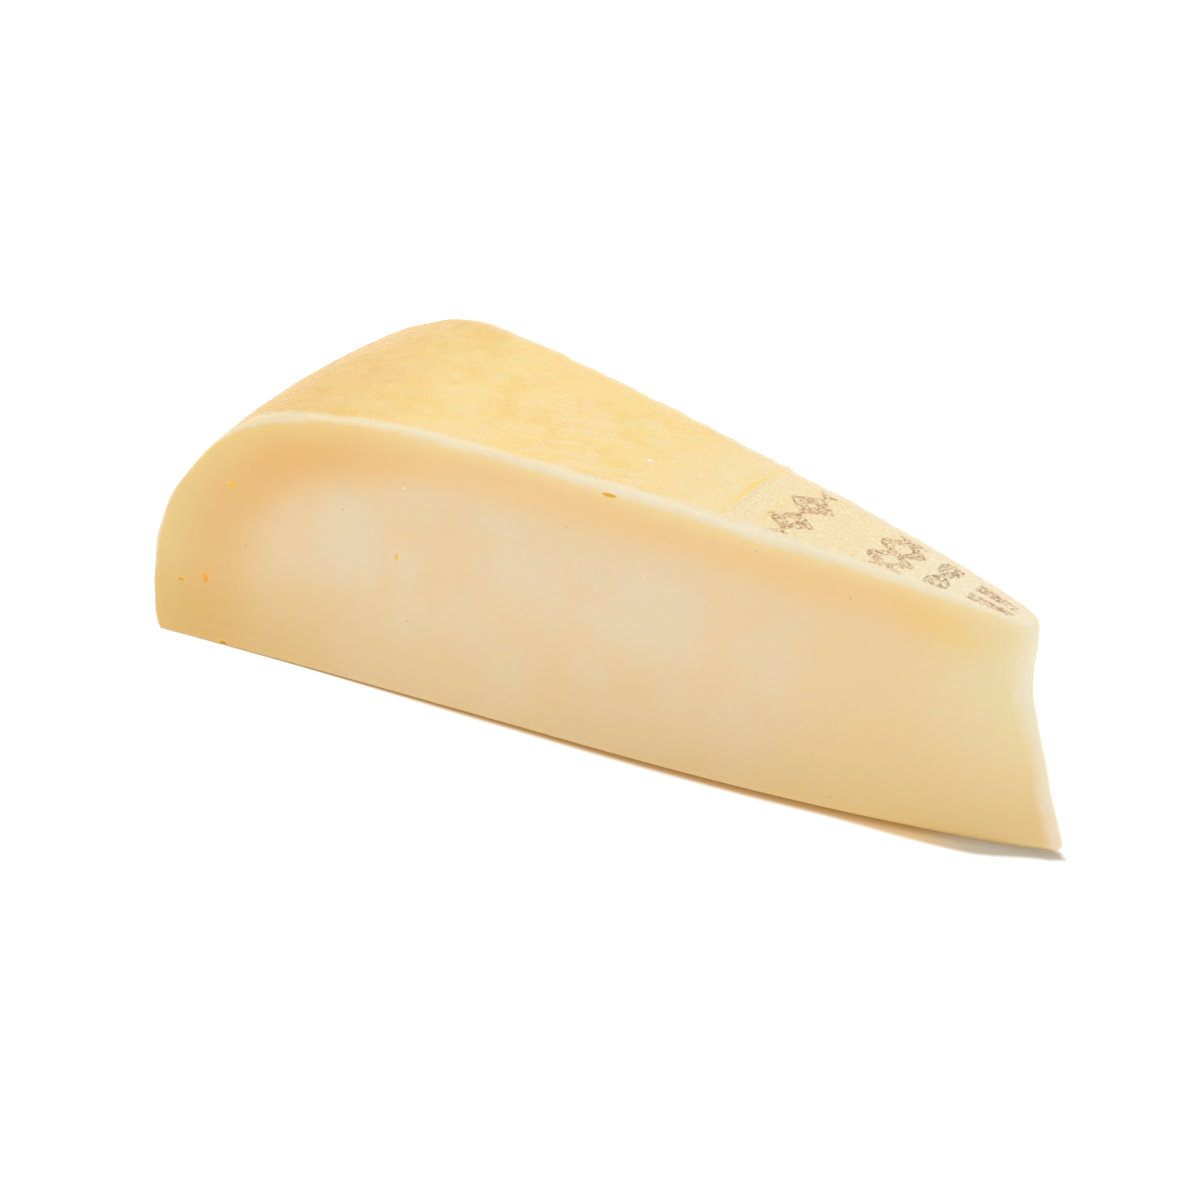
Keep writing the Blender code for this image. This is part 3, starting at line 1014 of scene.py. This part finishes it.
def goudaPaste():
    material, tree, shader = startMaterial("goudaPaste", 0.40, 0.65)
    tone = pasteFinish
    place = tree.nodes.new("ShaderNodeTexCoord").outputs["Object"]
    reach, angle = axisReach(tree, place)
    height = axisPart(tree, place, "Z")
    depth = attribute(tree, "rindDepth").outputs["Fac"]
    tipGap = attribute(tree, "tipDistance").outputs["Fac"]
    alongSkin = axisPart(tree, attribute(tree, "skinMap").outputs["Vector"], "X")
    cloud = noise(tree, place, tone["cloudSize"], 5.0, 0.62, 0.25)
    fine = noise(tree, place, tone["fineSize"], 3.0, 0.6)
    drift = minus(tree, cloud, 0.5)

    # the heart, tanner towards the tip, and painted shade towards the base
    colour = mixColour(tree, fade(tree, cloud, 0.42, 0.66, 0.0, 0.8), tone["heart"], tone["milk"])
    byTip = fade(tree, plus(tree, reach, product(tree, drift, 0.03)), 0.062, 0.036)
    colour = mixColour(tree, byTip, colour, tone["tipTan"])
    # pale patches of painted sheen, with pale flecks in them
    for patch in sheenPatches:
        far = plus(tree, patchReach(tree, reach, height, patch),
                   swing(tree, place, 0.007, 0.8, 3.0, 0.6))
        sheen = fade(tree, far, 1.25, 0.35, 0.0, patch[-1])
        colour = mixColour(tree, sheen, colour, tone["milk"])
        colour = flecks(tree, colour, place, 0.0028, 0.00020, 0.35, product(tree, sheen, 0.5),
                        tone["milkFleck"])
    # painted shade and warm bounce along the base, a little less half way along
    low = fade(tree, plus(tree, height, product(tree, drift, 0.008)), 0.027, -0.003, 0.0, 0.80)
    spared = minus(tree, 1.0, product(tree, hump(tree, reach, 0.117, 0.030), 0.55))
    baseShadeTone = mixColour(tree, fade(tree, reach, 0.120, 0.150), tone["baseShade"], tone["baseShadeRim"])
    baseShadeTone = mixColour(tree, fade(tree, reach, 0.070, 0.025), baseShadeTone, tone["baseShadeGold"])
    colour = mixColour(tree, product(tree, low, spared), colour, baseShadeTone)

    # a band under the rind: pale yellow, then orange; deeper on the rim side
    shoulder = fade(tree, alongSkin, 0.102, 0.145)
    rimSide = fade(tree, alongSkin, 0.140, 0.175)
    bandDepth = plus(tree, product(tree, shoulder, tone["shoulderDepth"]),
                     product(tree, rimSide, tone["rimDepth"]), tone["bandDepth"],
                     product(tree, drift, tone["bandSwing"]))
    uneven = product(tree, minus(tree, fine, 0.5), 0.0015)
    share = calc(tree, "DIVIDE", plus(tree, depth, uneven), bandDepth)
    for name, start, end in (("band", 2.05, 1.00), ("pale", 0.85, 0.10)):
        layer = mixColour(tree, shoulder, tone[name + "Top"], tone[name + "Shoulder"])
        layer = mixColour(tree, rimSide, layer, tone[name + "Rim"])
        colour = mixColour(tree, fade(tree, share, start, end), colour, layer)
    # painted shade at the foot of the rim side
    rimBaseShade = product(tree, fade(tree, reach, 0.150, 0.163), fade(tree, height, 0.018, 0.006),
                      0.55)
    colour = mixColour(tree, rimBaseShade, colour, tone["baseShadeRim"])

    # paler at the tip, with a golden patch, and a whitish line of painted highlight and translucent
    # glow along every cut edge and the tip's edges
    nearTip = fade(tree, plus(tree, tipGap, product(tree, drift, 0.012)), 0.026, 0.003)
    nearTip = product(tree, nearTip, fade(tree, height, 0.004, 0.034, 0.10, 0.85))
    colour = mixColour(tree, nearTip, colour, tone["tipCream"])
    far = plus(tree, patchReach(tree, reach, height, goldPatch, goldLean),
               product(tree, drift, 1.2))
    colour = mixColour(tree, fade(tree, far, 1.15, 0.30, 0.0, goldPatch[-1]), colour,
                       tone["gold"])
    edgeWidth = fade(tree, alongSkin, 0.135, 0.165, 0.0028, 0.0017)
    edge = fade(tree, plus(tree, depth, product(tree, fine, 0.0012)), edgeWidth,
                product(tree, edgeWidth, 0.5))
    edge = product(tree, edge, fade(tree, reach, 0.150, 0.040, 0.75, 0.95))
    colour = mixColour(tree, edge, colour, tone["edgeHighlight"])
    tipWidth = fade(tree, height, 0.016, 0.040, 0.0036, 0.0080)
    tipEdge = fade(tree, plus(tree, tipGap, product(tree, fine, 0.0010)), tipWidth, 0.0010)
    tipEdge = product(tree, tipEdge, fade(tree, height, 0.001, 0.024, 0.70, 1.0))
    colour = mixColour(tree, tipEdge, colour, tone["tipPaleGlow"])

    # faint drag lines, tiny dark specks and pale crystals
    drag = noise(tree, stretched(tree, place, tone["dragStretch"]), 1.0, 3.0, 0.6)
    colour = mixColour(tree, fade(tree, drag, 0.55, 0.75, 0.0, 0.16), colour, tone["bandTop"])
    spot = addNode(tree, "ShaderNodeCombineXYZ", {"X": reach, "Y": height}).outputs[0]
    onFront = calc(tree, "LESS_THAN", angle, 0.0)
    for r, z in darkSpecks:
        far = vectorCalc(tree, "DISTANCE", spot, (r, z, 0.0))
        dark = product(tree, fade(tree, far, 0.00028, 0.00010), onFront, 0.45)
        colour = mixColour(tree, dark, colour, tone["speck"])
    colour = flecks(tree, colour, place, 0.0125, 0.00018, 0.40, 0.30, tone["darkFleck"])
    colour = flecks(tree, colour, shifted(tree, place, (0.31, 0.17, 0.09)), 0.0095, 0.00022,
                    0.40, 0.6, tone["paleFleck"])
    feed(tree, shader.inputs["Base Color"], colour)

    rise = plus(tree, product(tree, drag, 0.5), product(tree, fine, 0.8))
    bump = addNode(tree, "ShaderNodeBump", {"Height": rise, "Strength": 0.25, "Distance": 0.0002})
    feed(tree, shader.inputs["Normal"], bump.outputs[0])
    feed(tree, shader.inputs["Roughness"], fade(tree, fine, 0.3, 0.7, 0.34, 0.48))
    shader.inputs["Specular IOR Level"].default_value = 0.45
    return material


def goudaHole():
    material, tree, shader = startMaterial("goudaHole", 0.30, 0.6)
    place = tree.nodes.new("ShaderNodeTexCoord").outputs["Object"]
    shade = noise(tree, place, holeFinish["grain"], 2.0)
    # painted glow: bright orange walls for light scattered through the paste
    feed(tree, shader.inputs["Base Color"],
         mixColour(tree, shade, holeFinish["gold"], holeFinish["deep"]))
    return material


# build

goudaRind()
goudaPaste()
goudaHole()
print("finishes ready")

cageMesh = flatWedge()
wrapTree, wrapInputs = wheelWrap()
roundMesh = baked("wedgeRound", cageMesh, [("NODES", {"node_group": wrapTree}, wrapInputs)])
markSkin(roundMesh)
print("wedge wrapped and rounded:", len(roundMesh.polygons), "faces")

reliefTree, reliefInputs = skinRelief()
reliefMesh = baked("wedgeRelief", roundMesh, [("NODES", {"node_group": reliefTree}, reliefInputs)])
finalMesh = withHoles(reliefMesh)
markSkin(finalMesh)
finalMesh.shade_smooth()
finalMesh.set_sharp_from_angle(angle=math.radians(40))
wedge = bpy.data.objects.new("goudaWedge", finalMesh)
bpy.context.scene.collection.objects.link(wedge)
print("wedge ready:", len(finalMesh.polygons), "faces", [slot.name for slot in finalMesh.materials])

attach(wedge, "root")
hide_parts("cheese_wedge")


# floor, light and camera

view = {
    "azimuth": math.radians(35.70),
    "elevation": math.radians(29.21),
    "distance": 1.0490,
    "right": -0.0770,          # the aim, from the wheel's axis at the base
    "up": 0.0429,
    "lens": 189.5,
    "sensor": 36.0,
}


table = {
    "size": 6.0,
    "plain": (0.45, 0.45, 0.45),
    "plainGlow": (1.0, 1.0, 1.0),
    "warmShadow": (0.72, 0.56, 0.34),      # painted warm shadow, tinted as if light came through the cheese
    "warmShadowGlow": (0.18, 0.10, 0.02),
    "tip": (0.26, 0.24, 0.20),       # and a grey painted shadow under the tip, which stands clear
    "tipGlow": (0.44, 0.38, 0.29),
    "glow": 0.70,
    "pastTip": (0.61, 0.80, 0.0),    # which way the two sides of the toe look
    "besideTip": (0.58, -0.81, 0.0),
    "toeGap": 0.0006,
    "rimGap": 0.0012,
    "tipSpread": 0.0022,
}


def addFloor():
    bm = bmesh.new()
    bmesh.ops.create_grid(bm, x_segments=1, y_segments=1, size=table["size"])
    mesh = bpy.data.meshes.new("floor")
    bm.to_mesh(mesh)
    bm.free()
    material = bpy.data.materials.new("paleFloor")
    material.use_nodes = True
    tree = material.node_tree
    shader = tree.nodes["Principled BSDF"]
    shader.inputs["Roughness"].default_value = 0.9
    shader.inputs["Specular IOR Level"].default_value = 0.1
    # a lit table, with a painted shadow, dark and warm, only where the wedge stands on it
    place = tree.nodes.new("ShaderNodeTexCoord").outputs["Object"]
    reach, angle = axisReach(tree, place)
    share = calc(tree, "DIVIDE", reach, wheel["radius"])
    left = minus(tree, 1.0, share)
    flare = calc(tree, "DIVIDE", minus(tree, share, cuts["flareStart"]), cuts["flareLength"],
                 clamp=True)
    bow = plus(tree, product(tree, cuts["frontFootBow"] * 6.75, share, left, left),
               product(tree, flare, cuts["frontFootFlare"]))
    beyond = minus(tree, product(tree, angle, -1.0), cuts["halfAngle"])
    toFront = minus(tree, product(tree, reach, calc(tree, "SINE", beyond)), bow)
    beyond = minus(tree, angle, cuts["halfAngle"])
    toBack = product(tree, reach, calc(tree, "SINE", beyond))
    spread = product(tree, fade(tree, reach, 0.045, 0.014, 0.0, table["tipSpread"]),
                     fade(tree, reach, 0.003, 0.016, 0.15, 1.0))
    toFront = minus(tree, toFront, spread)
    sides = minus(tree, larger(tree, toFront, toBack), tip["halfWidth"])
    fromAxis = shifted(tree, place, (-wheel["axisX"], 0, 0))
    pastTip = vectorCalc(tree, "DOT_PRODUCT", fromAxis, table["pastTip"])
    besideTip = vectorCalc(tree, "DOT_PRODUCT", fromAxis, table["besideTip"])
    ends = larger(tree, pastTip, minus(tree, besideTip, table["toeGap"]))
    ends = larger(tree, ends, minus(tree, reach, wheel["radius"] - table["rimGap"]))
    margin = fade(tree, reach, 0.158, 0.100, -0.0002, 0.0010)
    # the painted contact shadow's mask, reaching a little past the wedge's edges
    paintedShadow = fade(tree, larger(tree, sides, ends), margin, -0.0006)
    byTip = fade(tree, reach, 0.028, 0.012)
    for socket, name in (("Base Color", ""), ("Emission Color", "Glow")):
        shade = mixColour(tree, byTip, table["warmShadow" + name], table["tip" + name])
        feed(tree, shader.inputs[socket],
             mixColour(tree, paintedShadow, table["plain" + name], shade))
    shader.inputs["Emission Strength"].default_value = table["glow"]
    mesh.materials.append(material)
    floor = bpy.data.objects.new("floor", mesh)
    bpy.context.scene.collection.objects.link(floor)


def addSoftbox(name, place, aim, width, depth, power):
    data = bpy.data.lights.new(name, "AREA")
    data.shape = "RECTANGLE"
    data.size, data.size_y, data.energy = width, depth, power
    lamp = bpy.data.objects.new(name, data)
    lamp.location = place
    lamp.rotation_euler = (Vector(aim) - Vector(place)).to_track_quat("-Z", "Y").to_euler()
    bpy.context.scene.collection.objects.link(lamp)


def addCamera():
    azimuth, elevation = view["azimuth"], view["elevation"]
    right = Vector((math.cos(azimuth), math.sin(azimuth), 0.0))
    back = Vector((math.sin(azimuth) * math.cos(elevation),
                   -math.cos(azimuth) * math.cos(elevation), math.sin(elevation)))
    up = back.cross(right)
    aim = Vector((wheel["axisX"], 0.0, 0.0)) + right * view["right"] + up * view["up"]
    data = bpy.data.cameras.new("camera")
    data.lens, data.sensor_width = view["lens"], view["sensor"]
    data.clip_start, data.clip_end = 0.01, 50.0
    camera = bpy.data.objects.new("camera", data)
    camera.location = aim + back * view["distance"]
    camera.rotation_euler = Matrix((right, up, back)).transposed().to_euler()
    bpy.context.scene.collection.objects.link(camera)
    bpy.context.scene.camera = camera


def lightRoom():
    world = bpy.data.worlds.new("paleRoom")
    bpy.context.scene.world = world
    world.use_nodes = True
    sky = world.node_tree.nodes["Background"]
    sky.inputs["Color"].default_value = (1.0, 1.0, 1.0, 1.0)
    sky.inputs["Strength"].default_value = 0.95
    addSoftbox("softboxTop", (-0.35, 0.35, 1.5), (0, 0, 0.02), 1.6, 1.6, 10.0)
    bpy.context.scene.view_settings.view_transform = "Standard"


addFloor()
addCamera()
lightRoom()
print("floor, light and camera ready")
